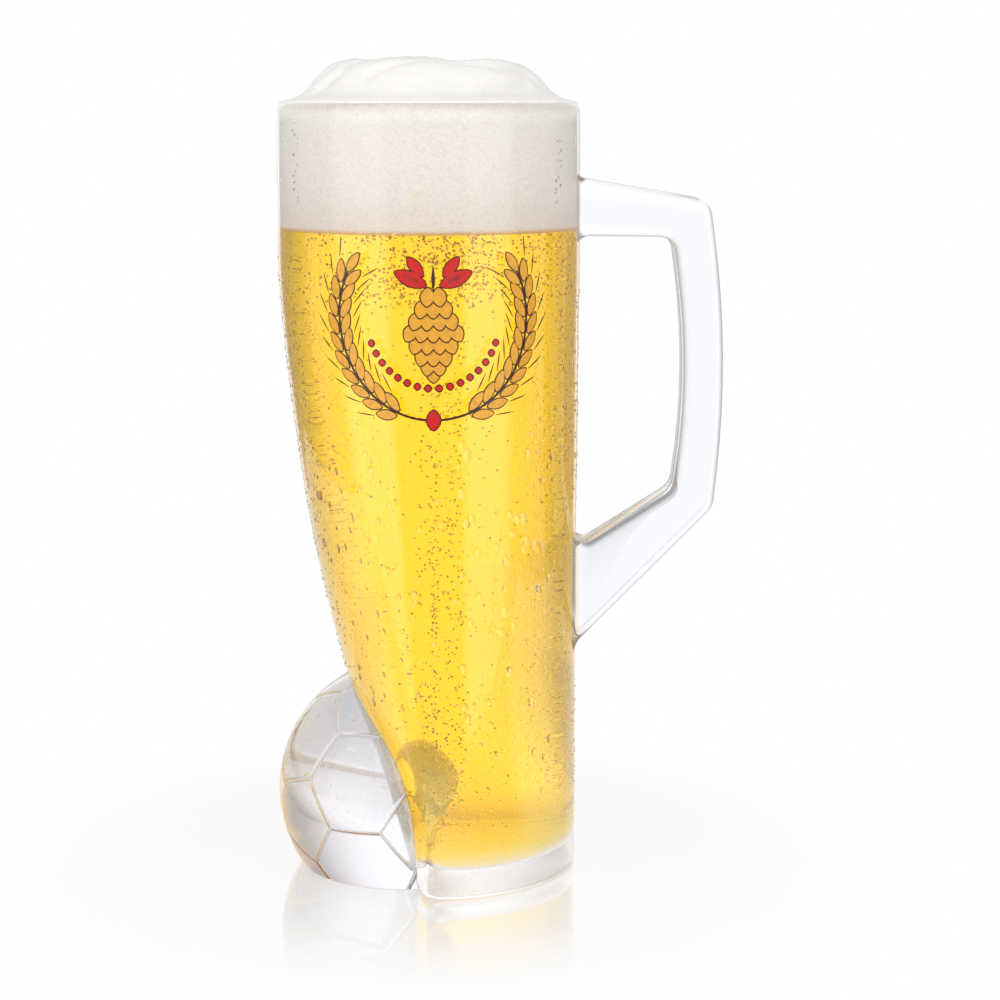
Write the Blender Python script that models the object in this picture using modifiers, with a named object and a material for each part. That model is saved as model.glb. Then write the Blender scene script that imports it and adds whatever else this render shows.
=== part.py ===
# Half-litre glass beer mug. Its left flank draws in over a solid glass football, a solid glass handle
# is welded to its right wall, and it is filled with beer under a head of foam.
# X runs from the ball towards the handle and Z is up. The origin is on the table, under the rim's centre.

import math

import bmesh
import bpy
from mathutils import Euler, Matrix, Vector

MM = 0.001
GAP = 0.3 * MM  # clearance between pieces that touch
MERGE_DISTANCE = 0.01 * MM
ROUND_SHADING = math.radians(50)  # edges sharper than this keep their crease

# Vessel
HEIGHT = 204.5 * MM
WALL_RADIUS = 39.0 * MM
TOP_WALL = 3.0 * MM
RIM_ROUND = 1.75 * MM
FLOOR_WALL = 4.2 * MM
BASE_THICKNESS = 6.5 * MM
FOOT_ROUND = 2.0 * MM
CAVITY_ROUND = 5.0 * MM
TURN_STEPS = 64
WALL_RINGS = 20
RING_CROWDING = 1.5  # rings lie closer together towards the base, where the flank bends most
ARC_STEPS = 3

# How far the left flank reaches from the axis, as height and reach
OUTER_FLANK = ((0.0, 4.0), (27.0, 11.8), (55.0, 23.1), (105.0, 33.6), (166.0, 39.0), (204.5, 39.0))
INNER_FLANK = ((6.5, 2.0), (27.0, 8.0), (55.0, 19.0), (105.0, 30.0), (160.0, 35.7), (204.5, 36.0))

# The outside stands out a little below the rim, as height and distance
BELLY = ((0.0, 0.0), (85.0, 0.0), (113.0, 0.3), (139.0, 0.45), (165.0, 0.75), (190.0, 0.75), (204.5, 0.5))

# The middle of the cavity's left wall swells inwards beside the ball
SWELL = 13.2 * MM
SWELL_HEIGHT = 28.0 * MM
SWELL_SPAN = 26.0 * MM
SWELL_WIDTH = 17.0 * MM
SWELL_CLEARANCE = 5.0  # the steep sides of the swell need that many times the clearance

# Football
BALL_RADIUS = 35.4 * MM
BALL_CENTRE = Vector((-6.1, 0.0, 20.0)) * MM
BALL_TURN = Euler((math.radians(-22.7), math.radians(30.1), math.radians(-153.9)))
SEAM_HALF_WIDTH = 0.8 * MM
SEAM_DEPTH = 0.6 * MM
PANEL_RING = 3.4 * MM  # width of the ring of faces inside each seam
EDGE_CUTS = 2
CORNER_CUT = 100 / 3  # percent of each icosahedron edge, which leaves regular pentagons and hexagons

# Handle outline in the XZ plane, as corner x, corner z and corner radius, clockwise from the upper weld
HANDLE_DEPTH = 17.0 * MM
HANDLE_EDGE = 1.5 * MM
HANDLE_EDGE_SEGMENTS = 2
HANDLE_EDGE_ANGLE = math.radians(60)  # only the two outlines are sharper than this
FLAT_ANGLE = math.radians(1)
CORNER_STEP = math.radians(15)
FEWEST_STEPS = 4
HANDLE_OUTLINE = (
    (36.5, 192.0, 0.0),
    (39.6, 185.0, 3.5),
    (73.6, 179.2, 5.0),
    (79.4, 139.0, 260.0),
    (75.3, 98.2, 6.0),
    (39.6, 62.0, 6.0),
    (36.5, 54.0, 0.0),
    (36.5, 97.0, 0.0),
    (39.4, 87.0, 3.0),
    (64.4, 102.9, 6.0),
    (68.6, 134.0, 190.0),
    (63.9, 169.7, 4.0),
    (39.4, 170.0, 4.0),
    (36.5, 160.0, 0.0),
)

# Contents
BEER_LEVEL = 171.9 * MM
FOAM_SHOULDER = 203.6 * MM  # where the foam leaves the wall
FOAM_STEPS = 9

# The foam's crown above the rim, as distance from the axis and height
FOAM_CROWN = ((0.0, 216.2), (12.0, 216.0), (22.5, 215.3), (28.5, 212.8), (33.0, 207.3), (36.0, 203.6))


def clear_scene():
    for obj in list(bpy.data.objects):
        bpy.data.objects.remove(obj, do_unlink=True)
    for group in list(bpy.data.collections):
        bpy.data.collections.remove(group)


def new_collection(name):
    group = bpy.data.collections.new(name)
    bpy.context.scene.collection.children.link(group)
    return group


def new_material(name, colour, roughness, transmission=0.0):
    material = bpy.data.materials.new(name)
    material.use_nodes = True
    shader = material.node_tree.nodes["Principled BSDF"]
    shader.inputs["Base Color"].default_value = (*colour, 1.0)
    shader.inputs["Roughness"].default_value = roughness
    shader.inputs["Metallic"].default_value = 0.0
    shader.inputs["Transmission Weight"].default_value = transmission
    return material


def add_object(name, mesh, group, material=None):
    obj = bpy.data.objects.new(name, mesh)
    group.objects.link(obj)
    if material:
        mesh.materials.clear()
        mesh.materials.append(material)
    return obj


def hide_cutter(obj):
    obj.hide_render = True
    obj.display_type = "WIRE"


def cut_with(obj, cutter):
    cut = obj.modifiers.new("cut by " + cutter.name, "BOOLEAN")
    cut.operation = "DIFFERENCE"
    cut.object = cutter


def shade_round(mesh):
    mesh.shade_smooth()
    mesh.set_sharp_from_angle(angle=ROUND_SHADING)


def mesh_of(obj):
    """The object's mesh with its modifiers applied. The object itself is removed."""
    graph = bpy.context.evaluated_depsgraph_get()
    mesh = bpy.data.meshes.new_from_object(obj.evaluated_get(graph))
    mesh.transform(obj.matrix_world)
    bpy.data.objects.remove(obj, do_unlink=True)
    return mesh


def smooth_through(stations, height):
    """Reads a smooth curve through pairs such as height and reach, in millimetres, without overshoot."""
    heights = [station[0] for station in stations]
    reaches = [station[1] for station in stations]
    height = min(max(height, heights[0]), heights[-1])
    spans = [b - a for a, b in zip(heights, heights[1:])]
    slopes = [(b - a) / span for a, b, span in zip(reaches, reaches[1:], spans)]
    tangents = [slopes[0]]
    for before, after in zip(slopes, slopes[1:]):
        tangents.append(2 * before * after / (before + after) if before * after > 0 else 0.0)
    tangents.append(slopes[-1])
    i = max(k for k in range(len(spans)) if heights[k] <= height)
    t = (height - heights[i]) / spans[i]
    start = (2 * t**3 - 3 * t**2 + 1) * reaches[i] + (t**3 - 2 * t**2 + t) * spans[i] * tangents[i]
    end = (3 * t**2 - 2 * t**3) * reaches[i + 1] + (t**3 - t**2) * spans[i] * tangents[i + 1]
    return start + end


def outer_reach(z):
    return smooth_through(OUTER_FLANK, z / MM) * MM


def belly(z):
    return smooth_through(BELLY, z / MM) * MM


def inner_reach(z):
    return smooth_through(INNER_FLANK, z / MM) * MM


def inner_radius(z):
    share = (z - BASE_THICKNESS) / (HEIGHT - BASE_THICKNESS)
    wall = FLOOR_WALL + (TOP_WALL - FLOOR_WALL) * min(max(share, 0.0), 1.0)
    return WALL_RADIUS - wall


def draw_in(x, y, radius, reach):
    """Moves a point of a round section, so that its left half reaches only so far from the axis."""
    chord = math.sqrt(max(radius**2 - y**2, 0.0))
    return chord * (radius - reach) / (2 * radius) + x * (radius + reach) / (2 * radius)


def outer_x(x, y, z, grow=0.0):
    """Moves a point of the round outside, or of one grown from it, to the drawn-in outside."""
    out = belly(z) + grow
    return draw_in(x, y, WALL_RADIUS + out, outer_reach(z) + out)


def cavity_x(x, y, z, inset=0.0):
    """Moves a point of the round cavity section, or of one set in from it, to the drawn-in cavity."""
    radius = inner_radius(z) - inset
    reach = inner_reach(z) - 2 * inset  # the sloping flank needs more room than the upright wall
    moved = draw_in(x, y, radius, reach)
    chord = math.sqrt(max(radius**2 - y**2, 0.0))
    left_share = (radius * chord - radius * moved) / max(chord * (radius + reach), GAP**2)
    upright = math.cos(math.pi / 2 * min(abs(z - SWELL_HEIGHT) / SWELL_SPAN, 1.0)) ** 2
    across = math.cos(math.pi / 2 * min(abs(y) / SWELL_WIDTH, 1.0)) ** 2
    swell = SWELL + SWELL_CLEARANCE * inset
    return moved + swell * upright * across * min(max(left_share, 0.0), 1.0)


def arc(centre_r, centre_z, radius, start_degrees, end_degrees, steps=ARC_STEPS):
    points = []
    for step in range(steps + 1):
        angle = math.radians(start_degrees + (end_degrees - start_degrees) * step / steps)
        points.append((centre_r + radius * math.cos(angle), centre_z + radius * math.sin(angle)))
    return points


def wall_levels(low):
    """Heights of the rings from just above a foot or floor up to the start of the rim's round."""
    high = HEIGHT - RIM_ROUND
    return [low + (high - low) * (ring / WALL_RINGS) ** RING_CROWDING for ring in range(WALL_RINGS + 1)]


def cavity_levels(low, high):
    """The cavity's ring heights between two limits, with the limits themselves."""
    between = [z for z in wall_levels(BASE_THICKNESS + CAVITY_ROUND) if low < z < high]
    return [low] + between + [high]


def turned(name, profile, group):
    """A profile of (radius, z) points, listed so that its outer side runs down, turned about Z."""
    mesh = bpy.data.meshes.new(name)
    edges = [(i, i + 1) for i in range(len(profile) - 1)]
    mesh.from_pydata([(r, 0.0, z) for r, z in profile], edges, [])
    obj = add_object(name, mesh, group)
    screw = obj.modifiers.new("turn", "SCREW")
    screw.axis = "Z"
    screw.angle = math.tau
    screw.steps = TURN_STEPS
    screw.render_steps = TURN_STEPS
    screw.use_merge_vertices = True
    screw.merge_threshold = MERGE_DISTANCE
    return obj


def outer_profile(grow=0.0):
    """Right-hand outline of the vessel's outside, from the top of its outer wall down to the axis."""
    radius = WALL_RADIUS + grow
    foot = arc(radius - FOOT_ROUND, FOOT_ROUND, FOOT_ROUND, 0, -90)
    wall = [(radius + belly(z), z) for z in reversed(wall_levels(FOOT_ROUND))]
    return wall[:-1] + foot + [(0.0, 0.0)]


def inner_profile():
    """Right-hand outline of the cavity, from the axis up to the top of its wall."""
    low = BASE_THICKNESS + CAVITY_ROUND
    corner = arc(inner_radius(low) - CAVITY_ROUND, low, CAVITY_ROUND, -90, 0)
    wall = [(inner_radius(z), z) for z in wall_levels(low)]
    return [(0.0, BASE_THICKNESS)] + corner[:-1] + wall


def make_glass_body(group, material):
    rim = arc(inner_radius(HEIGHT) + RIM_ROUND, HEIGHT - RIM_ROUND, RIM_ROUND, 180, 0, 2 * ARC_STEPS)
    mesh = mesh_of(turned("glass_body", inner_profile() + rim[1:-1] + outer_profile(), group))
    for vertex in mesh.vertices:
        x, y, z = vertex.co
        is_inside = z > BASE_THICKNESS / 2 and math.hypot(x, y) < WALL_RADIUS - TOP_WALL / 2
        if is_inside:
            vertex.co.x = cavity_x(x, y, z)
        else:
            vertex.co.x = outer_x(x, y, z)
    shade_round(mesh)
    return add_object("glass_body", mesh, group, material)


def make_body_cutter(group):
    """The vessel's outside grown by the clearance, which trims what is welded to it."""
    profile = outer_profile(GAP)
    sunk = [(r, z if z > 0 else -GAP) for r, z in profile]
    mesh = mesh_of(turned("vessel_outside", [(0.0, HEIGHT)] + sunk, group))
    for vertex in mesh.vertices:
        x, y, z = vertex.co
        vertex.co.x = outer_x(x, y, z, GAP)
    cutter = add_object("vessel_outside", mesh, group)
    hide_cutter(cutter)
    return cutter


def make_table_cutter(group):
    side = 4 * BALL_RADIUS
    work = bmesh.new()
    bmesh.ops.create_cube(work, size=side, matrix=Matrix.Translation((0.0, 0.0, -side / 2)))
    mesh = bpy.data.meshes.new("table")
    work.to_mesh(mesh)
    work.free()
    cutter = add_object("table", mesh, group)
    hide_cutter(cutter)
    return cutter


def make_football(group, material, cutters):
    """Thirty-two panels with sunk seams: an icosahedron with its corners cut off, blown up to a ball."""
    work = bmesh.new()
    bmesh.ops.create_icosphere(work, subdivisions=1, radius=BALL_RADIUS)
    bmesh.ops.bevel(
        work,
        geom=work.verts[:],
        affect="VERTICES",
        offset_type="PERCENT",
        offset=CORNER_CUT,
        segments=1,
        profile=0.5,
    )
    bmesh.ops.subdivide_edges(work, edges=work.edges[:], cuts=EDGE_CUTS)
    seam = set(work.verts)
    panels = work.faces[:]
    bmesh.ops.inset_individual(work, faces=panels, thickness=SEAM_HALF_WIDTH, use_even_offset=True)
    bmesh.ops.inset_individual(work, faces=panels, thickness=PANEL_RING, use_even_offset=True)
    bmesh.ops.poke(work, faces=panels)
    for vertex in work.verts:
        vertex.co = vertex.co.normalized() * (BALL_RADIUS - (SEAM_DEPTH if vertex in seam else 0.0))
    bmesh.ops.triangulate(work, faces=work.faces[:])
    bmesh.ops.transform(work, matrix=Matrix.LocRotScale(BALL_CENTRE, BALL_TURN, None), verts=work.verts[:])
    mesh = bpy.data.meshes.new("football")
    work.to_mesh(mesh)
    work.free()
    shade_round(mesh)
    ball = add_object("football", mesh, group, material)
    for cutter in cutters:
        cut_with(ball, cutter)
    return ball


def rounded_outline(corners):
    """Points round a closed outline, with an arc at each corner that has a radius."""
    points = []
    count = len(corners)
    for i, (x, z, radius) in enumerate(corners):
        corner = Vector((x, z))
        if radius == 0.0:
            points.append(corner)
            continue
        before = (Vector(corners[i - 1][:2]) - corner).normalized()
        after = (Vector(corners[(i + 1) % count][:2]) - corner).normalized()
        half_angle = before.angle(after) / 2
        centre = corner + (before + after).normalized() * (radius / math.sin(half_angle))
        start = corner + before * (radius / math.tan(half_angle)) - centre
        sweep = math.pi - 2 * half_angle
        turn = math.copysign(sweep, before.x * after.y - before.y * after.x)
        steps = max(FEWEST_STEPS, math.ceil(sweep / CORNER_STEP))
        for step in range(steps + 1):
            point = start.copy()
            point.rotate(Matrix.Rotation(-turn * step / steps, 2))
            points.append(centre + point)
    return points


def make_handle(group, material, cutter):
    outline = rounded_outline(HANDLE_OUTLINE)
    curve = bpy.data.curves.new("handle_outline", "CURVE")
    curve.dimensions = "2D"
    curve.fill_mode = "BOTH"
    curve.extrude = HANDLE_DEPTH / 2
    spline = curve.splines.new("POLY")
    spline.points.add(len(outline) - 1)
    spline.use_cyclic_u = True
    for point, place in zip(spline.points, outline):
        point.co = (place.x * MM, place.y * MM, 0.0, 1.0)
    blank = bpy.data.objects.new("handle_outline", curve)
    blank.rotation_euler = (math.pi / 2, 0.0, 0.0)
    group.objects.link(blank)
    bpy.context.view_layer.update()
    mesh = mesh_of(blank)
    work = bmesh.new()
    work.from_mesh(mesh)
    bmesh.ops.remove_doubles(work, verts=work.verts[:], dist=MERGE_DISTANCE)
    bmesh.ops.dissolve_limit(work, angle_limit=FLAT_ANGLE, verts=work.verts[:], edges=work.edges[:])
    bmesh.ops.recalc_face_normals(work, faces=work.faces[:])
    work.to_mesh(mesh)
    work.free()
    shade_round(mesh)
    handle = add_object("handle", mesh, group, material)
    edge = handle.modifiers.new("rounded edges", "BEVEL")
    edge.width = HANDLE_EDGE
    edge.segments = HANDLE_EDGE_SEGMENTS
    edge.limit_method = "ANGLE"
    edge.angle_limit = HANDLE_EDGE_ANGLE
    cut_with(handle, cutter)
    return handle


def fill_cavity(mesh):
    """Draws a turned filling in, so that it keeps its clearance to the cavity wall."""
    for vertex in mesh.vertices:
        x, y, z = vertex.co
        vertex.co.x = cavity_x(x, y, z, GAP)


def make_beer(group, material):
    low = BASE_THICKNESS + CAVITY_ROUND
    corner = arc(inner_radius(low) - CAVITY_ROUND, low, CAVITY_ROUND - GAP, 0, -90)
    wall = [(inner_radius(z) - GAP, z) for z in reversed(cavity_levels(low, BEER_LEVEL - GAP))]
    profile = [(0.0, BEER_LEVEL - GAP)] + wall[:-1] + corner + [(0.0, BASE_THICKNESS + GAP)]
    mesh = mesh_of(turned("beer", profile, group))
    fill_cavity(mesh)
    shade_round(mesh)
    return add_object("beer", mesh, group, material)


def make_foam(group, material):
    shoulder = inner_radius(FOAM_SHOULDER) - GAP
    crown = []
    for step in range(FOAM_STEPS):
        radius = shoulder * step / FOAM_STEPS
        crown.append((radius, smooth_through(FOAM_CROWN, radius / MM) * MM))
    wall = [(inner_radius(z) - GAP, z) for z in reversed(cavity_levels(BEER_LEVEL, FOAM_SHOULDER))]
    mesh = mesh_of(turned("foam_head", crown + wall + [(0.0, BEER_LEVEL)], group))
    fill_cavity(mesh)
    shade_round(mesh)
    return add_object("foam_head", mesh, group, material)


def main():
    clear_scene()
    mug = new_collection("beer_mug")
    cutters = new_collection("cutters")
    body_glass = new_material("clear_glass", (0.94, 0.96, 0.97), 0.02, 1.0)
    ball_glass = new_material("ball_glass", (0.92, 0.93, 0.95), 0.03, 1.0)
    handle_glass = new_material("handle_glass", (0.95, 0.95, 0.98), 0.02, 1.0)
    lager = new_material("lager", (0.93, 0.62, 0.06), 0.05, 0.6)
    foam = new_material("foam", (0.93, 0.91, 0.86), 0.8)
    outside = make_body_cutter(cutters)
    table = make_table_cutter(cutters)
    make_glass_body(mug, body_glass)
    make_football(mug, ball_glass, (outside, table))
    make_handle(mug, handle_glass, outside)
    make_beer(mug, lager)
    make_foam(mug, foam)


main()
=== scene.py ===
import math
import random

import bmesh
import bpy
from mathutils import Euler, Matrix, Vector, noise


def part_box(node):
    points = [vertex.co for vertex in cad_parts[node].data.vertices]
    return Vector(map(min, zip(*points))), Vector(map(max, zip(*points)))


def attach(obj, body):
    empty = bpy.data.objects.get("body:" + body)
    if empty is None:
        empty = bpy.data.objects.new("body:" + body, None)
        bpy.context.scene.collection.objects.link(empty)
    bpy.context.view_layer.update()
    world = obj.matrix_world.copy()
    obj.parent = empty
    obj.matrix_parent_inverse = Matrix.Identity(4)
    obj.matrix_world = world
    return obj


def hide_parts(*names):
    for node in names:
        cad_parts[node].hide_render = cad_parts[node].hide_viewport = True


# Beer mug with a glass ball under its left flank: finishes, contents, drops and a front ornament.
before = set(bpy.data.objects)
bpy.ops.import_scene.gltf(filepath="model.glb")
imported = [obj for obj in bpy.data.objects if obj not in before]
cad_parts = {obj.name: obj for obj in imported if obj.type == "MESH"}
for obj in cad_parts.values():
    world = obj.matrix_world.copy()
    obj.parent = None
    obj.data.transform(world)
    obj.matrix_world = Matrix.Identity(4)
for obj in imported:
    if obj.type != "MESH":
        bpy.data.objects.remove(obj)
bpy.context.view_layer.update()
mm = 0.001
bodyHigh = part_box("glass_body")[1]
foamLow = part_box("foam_head")[0]
print("frame loaded:", ", ".join(sorted(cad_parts)))


# Camera, placed where the photograph was taken from
cameraSetup = {
    "place": (18.7 * mm, -647.0 * mm, 201.2 * mm),
    "tilt": math.radians(81.03),
    "lens": 87.8,
    "sensor": 36.0,
    "nearest": 0.01,
}


def newObject(name, data):
    item = bpy.data.objects.new(name, data)
    bpy.context.scene.collection.objects.link(item)
    return item


def addCamera():
    data = bpy.data.cameras.new("camera")
    data.lens = cameraSetup["lens"]
    data.sensor_width = cameraSetup["sensor"]
    data.clip_start = cameraSetup["nearest"]
    camera = newObject("camera", data)
    camera.location = cameraSetup["place"]
    camera.rotation_euler = (cameraSetup["tilt"], 0.0, 0.0)
    bpy.context.scene.camera = camera


addCamera()
print("camera placed")


# Shared node helpers
white = (1.0, 1.0, 1.0, 1.0)
grainBand = (0.3, 0.7)  # the levels of a noise that are spread over a finish


def feed(tree, node, **sockets):  # i2 is input 2, From_Min is the input "From Min"
    for key, value in sockets.items():
        socket = node.inputs[int(key[1:]) if key[1:].isdigit() else key.replace("_", " ")]
        if isinstance(value, bpy.types.NodeSocket):
            tree.links.new(value, socket)
        else:
            socket.default_value = value


def addNode(tree, kind, settings=None, **sockets):
    node = tree.nodes.new(kind)
    for key, value in (settings or {}).items():
        setattr(node, key, value)
    feed(tree, node, **sockets)
    return node


def addMath(tree, operation, *values, clamp=False):
    sockets = {f"i{index}": value for index, value in enumerate(values)}
    node = addNode(tree, "ShaderNodeMath", {"operation": operation, "use_clamp": clamp}, **sockets)
    return node.outputs[0]


def times(tree, product, *factors):
    for factor in factors:
        product = addMath(tree, "MULTIPLY", product, factor)
    return product


def mapRange(tree, value, fromMin, fromMax, toMin=0.0, toMax=1.0, smooth=True):
    kind = "SMOOTHSTEP" if smooth else "LINEAR"
    node = addNode(tree, "ShaderNodeMapRange", {"interpolation_type": kind}, Value=value, From_Min=fromMin,
                   From_Max=fromMax, To_Min=toMin, To_Max=toMax)
    return node.outputs["Result"]


def mixLevels(tree, share, first, second):
    return addNode(tree, "ShaderNodeMix", i0=share, i2=first, i3=second).outputs[0]


def mixColours(tree, share, first, second):
    return addNode(tree, "ShaderNodeMix", {"data_type": "RGBA"}, i0=share, i6=first, i7=second).outputs[2]


def addNoise(tree, place, scale, detail=2.0):
    return addNode(tree, "ShaderNodeTexNoise", Vector=place, Scale=scale, Detail=detail).outputs["Fac"]


def addCells(tree, place, scale):
    return addNode(tree, "ShaderNodeTexVoronoi", {"feature": "F1"}, Vector=place, Scale=scale).outputs


def addBump(tree, shader, height, strength, distance):
    bump = addNode(tree, "ShaderNodeBump", Height=height, Strength=strength, Distance=distance)
    feed(tree, shader, Normal=bump.outputs["Normal"])


def objectPlace(tree):
    return addNode(tree, "ShaderNodeTexCoord").outputs["Object"]


def splitPlace(tree, place):
    return addNode(tree, "ShaderNodeSeparateXYZ", Vector=place).outputs


def newMaterial(name):
    material = bpy.data.materials.new(name)
    material.use_nodes = True
    return material, material.node_tree, material.node_tree.nodes["Principled BSDF"]


def newGlass(name, tint, index, clear=1.0):
    material, tree, shader = newMaterial(name)
    feed(tree, shader, Base_Color=tint, Transmission_Weight=clear, IOR=index)
    return material, tree, shader


def roughen(tree, shader, scale, roughness):
    grain = addNoise(tree, objectPlace(tree), scale)
    feed(tree, shader, Roughness=mapRange(tree, grain, *grainBand, *roughness))


# Fine drops of condensation, as a height for a Bump node
mist = {
    "dropReach": (0.12, 0.48),
    "coarseDrops": 1150.0,
    "fineDrops": 2400.0,
    "fineCover": 0.75,
    "fineHeight": 0.45,
    "patchScale": 28.0,
    "patchCover": (0.1, 0.8),
    "dryFoot": (8.0 * mm, 16.0 * mm),
    "height": 0.4 * mm,
    "strength": 0.4,
}


def makeMistGroup():
    group = bpy.data.node_groups.new("condensationMist", "ShaderNodeTree")
    for name, kind in (("Place", "Vector"), ("Drops per metre", "Float"), ("Cover", "Float")):
        group.interface.new_socket(name, in_out="INPUT", socket_type="NodeSocket" + kind)
    group.interface.new_socket("Height", in_out="OUTPUT", socket_type="NodeSocketFloat")
    start = group.nodes.new("NodeGroupInput")
    end = group.nodes.new("NodeGroupOutput")
    cells = addCells(group, start.outputs["Place"], start.outputs["Drops per metre"])
    pick = addNode(group, "ShaderNodeSeparateColor", Color=cells["Color"])
    reach = mapRange(group, pick.outputs[0], 0.0, 1.0, *mist["dropReach"], smooth=False)
    near = addMath(group, "DIVIDE", cells["Distance"], reach)
    rest = addMath(group, "SUBTRACT", 1.0, times(group, near, near))
    dome = addMath(group, "SQRT", addMath(group, "MAXIMUM", rest, 0.0))
    there = addMath(group, "LESS_THAN", pick.outputs[1], start.outputs["Cover"])
    feed(group, end, Height=times(group, dome, reach, there))
    return group


mistGroup = makeMistGroup()


def addMist(tree, place, perMetre, cover):
    node = addNode(tree, "ShaderNodeGroup", {"node_tree": mistGroup}, Place=place, Drops_per_metre=perMetre,
                   Cover=cover)
    return node.outputs["Height"]


# Glass
glassFinish = {
    "index": 1.5,
    # painted shade: a grey tint at each crossing of the ball and handle glass, which offsets the bright
    # backlight behind them
    "backlightShadeTint": (0.675, 0.672, 0.705, 1.0),
    "joinTint": (0.92, 0.77, 0.48, 1.0),
    "smudgeScale": 45.0,
    "smudgeDetail": 3.0,
    "smudgeBand": (0.45, 0.8, 0.0, 0.035),
    "seamBand": (0.2, 1.0, 0.0, 0.55),
    "ballWetness": 0.35,
}
cloudyFinish = {  # tint, index, clear share, grain, roughness
    "groundGlass": ((0.95, 0.95, 1.0, 1.0), 1.06, 1.0, 1500.0, (0.24, 0.4)),
    # the seams are rough like frosted glass, and their grey tint is painted shade in the seam grooves
    "seamFrostAndShade": ((0.74, 0.75, 0.8, 1.0), 1.5, 0.55, 1200.0, (0.45, 0.6)),
    "weldGlass": ((0.78, 0.71, 0.6, 1.0), 1.5, 0.85, 1200.0, (0.05, 0.12)),
}


def makeGlass(name, tint, wetness=0.0, seams=False):
    material, tree, shader = newGlass(name, tint, glassFinish["index"])
    place = objectPlace(tree)
    smudge = addNoise(tree, place, glassFinish["smudgeScale"], glassFinish["smudgeDetail"])
    roughness = mapRange(tree, smudge, *glassFinish["smudgeBand"])
    if seams:
        seam = addNode(tree, "ShaderNodeAttribute", {"attribute_name": "seam"}).outputs["Fac"]
        roughness = addMath(tree, "ADD", roughness, mapRange(tree, seam, *glassFinish["seamBand"]))
    feed(tree, shader, Roughness=roughness)
    if wetness:
        low, high = mist["patchCover"]
        patches = addNoise(tree, place, mist["patchScale"])
        cover = mapRange(tree, patches, *grainBand, low * wetness, high * wetness)
        coarse = addMist(tree, place, mist["coarseDrops"], cover)
        fine = addMist(tree, place, mist["fineDrops"], mist["fineCover"] * wetness)
        drops = addMath(tree, "MAXIMUM", coarse, times(tree, fine, mist["fineHeight"]))
        aboveFoot = mapRange(tree, splitPlace(tree, place)["Z"], *mist["dryFoot"])
        addBump(tree, shader, times(tree, drops, aboveFoot), mist["strength"], mist["height"])
    return material


def makeCloudyGlass(name):
    tint, index, clear, grain, roughness = cloudyFinish[name]
    material, tree, shader = newGlass(name, tint, index, clear)
    roughen(tree, shader, grain, roughness)
    return material


wetGlass = makeGlass("wetGlass", white, wetness=1.0)
clearGlass = makeGlass("clearGlass", white)
# the ball and the handle carry the grey tint of painted shade that offsets the backlight
ballGlass = makeGlass("ballGlass", glassFinish["backlightShadeTint"], wetness=glassFinish["ballWetness"], seams=True)
handleGlass = makeGlass("handleGlass", glassFinish["backlightShadeTint"])
joinGlass = makeGlass("joinGlass", glassFinish["joinTint"])
groundGlass = makeCloudyGlass("groundGlass")
seamFrostAndShade = makeCloudyGlass("seamFrostAndShade")
weldGlass = makeCloudyGlass("weldGlass")
print("glass mixed")


# Building helpers
mergeReach = 0.002 * mm
nearZero = 1e-9  # keeps a division safe


def clampShare(value):
    return min(max(value, 0.0), 1.0)


def arc(centreR, centreZ, radius, startDegrees, endDegrees, steps):
    points = []
    for step in range(steps + 1):
        angle = math.radians(startDegrees + (endDegrees - startDegrees) * step / steps)
        points.append((centreR + radius * math.cos(angle), centreZ + radius * math.sin(angle)))
    return points


def faceOutwards(work):
    bmesh.ops.recalc_face_normals(work, faces=work.faces[:])


def wholeOf(work):
    return work.verts[:] + work.edges[:] + work.faces[:]


def cutOffBelow(work, level):
    bmesh.ops.bisect_plane(work, geom=wholeOf(work), plane_co=(0, 0, level), plane_no=(0, 0, -1),
                           clear_outer=True)
    bmesh.ops.holes_fill(work, edges=[edge for edge in work.edges if edge.is_boundary])


def unitBall(sides, rings):
    ball = bmesh.new()
    bmesh.ops.create_uvsphere(ball, u_segments=sides, v_segments=rings, radius=1.0)
    return ball


def extrudeBy(work, faces, way):
    grown = bmesh.ops.extrude_face_region(work, geom=faces)
    moved = [item for item in grown["geom"] if isinstance(item, bmesh.types.BMVert)]
    bmesh.ops.translate(work, verts=moved, vec=way)
    faceOutwards(work)


def turnProfile(profile, steps):
    work = bmesh.new()
    line = [work.verts.new((r, 0.0, z)) for r, z in profile]
    for start, end in zip(line, line[1:]):
        work.edges.new((start, end))
    bmesh.ops.spin(work, geom=work.verts[:] + work.edges[:], cent=(0, 0, 0), axis=(0, 0, 1), angle=math.tau,
                   steps=steps, use_merge=True)
    bmesh.ops.remove_doubles(work, verts=work.verts[:], dist=mergeReach)
    faceOutwards(work)
    return work


def keepMesh(name, work):
    mesh = bpy.data.meshes.new(name)
    work.to_mesh(mesh)
    work.free()
    return mesh


def smoothMesh(mesh, sharpDegrees):
    mesh.shade_smooth()
    if sharpDegrees:
        mesh.set_sharp_from_angle(angle=math.radians(sharpDegrees))


def newPiece(name, work, materials, nodes=(), sharpDegrees=None):
    mesh = keepMesh(name, work)
    smoothMesh(mesh, sharpDegrees)
    for material in materials:
        mesh.materials.append(material)
    piece = newObject(name, mesh)
    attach(piece, "root")
    if nodes:
        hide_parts(*nodes)
    print("made", name, len(mesh.polygons), "faces")
    return piece


def addCopies(work, template, places):
    for place in places:
        copy = template.copy()
        copy.transform(place)
        work.from_mesh(copy)
        bpy.data.meshes.remove(copy)


def cutPiece(piece, cutterWork, sharpDegrees):
    mesh = keepMesh("cutter", cutterWork)
    cutter = newObject("cutter", mesh)
    cut = piece.modifiers.new("cut", "BOOLEAN")
    cut.operation = "DIFFERENCE"
    cut.solver = "EXACT"
    cut.object = cutter
    graph = bpy.context.evaluated_depsgraph_get()
    result = bpy.data.meshes.new_from_object(piece.evaluated_get(graph))
    piece.modifiers.clear()
    old = piece.data
    piece.data = result
    bpy.data.meshes.remove(old)
    bpy.data.objects.remove(cutter)
    bpy.data.meshes.remove(mesh)
    smoothMesh(result, sharpDegrees)


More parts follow.
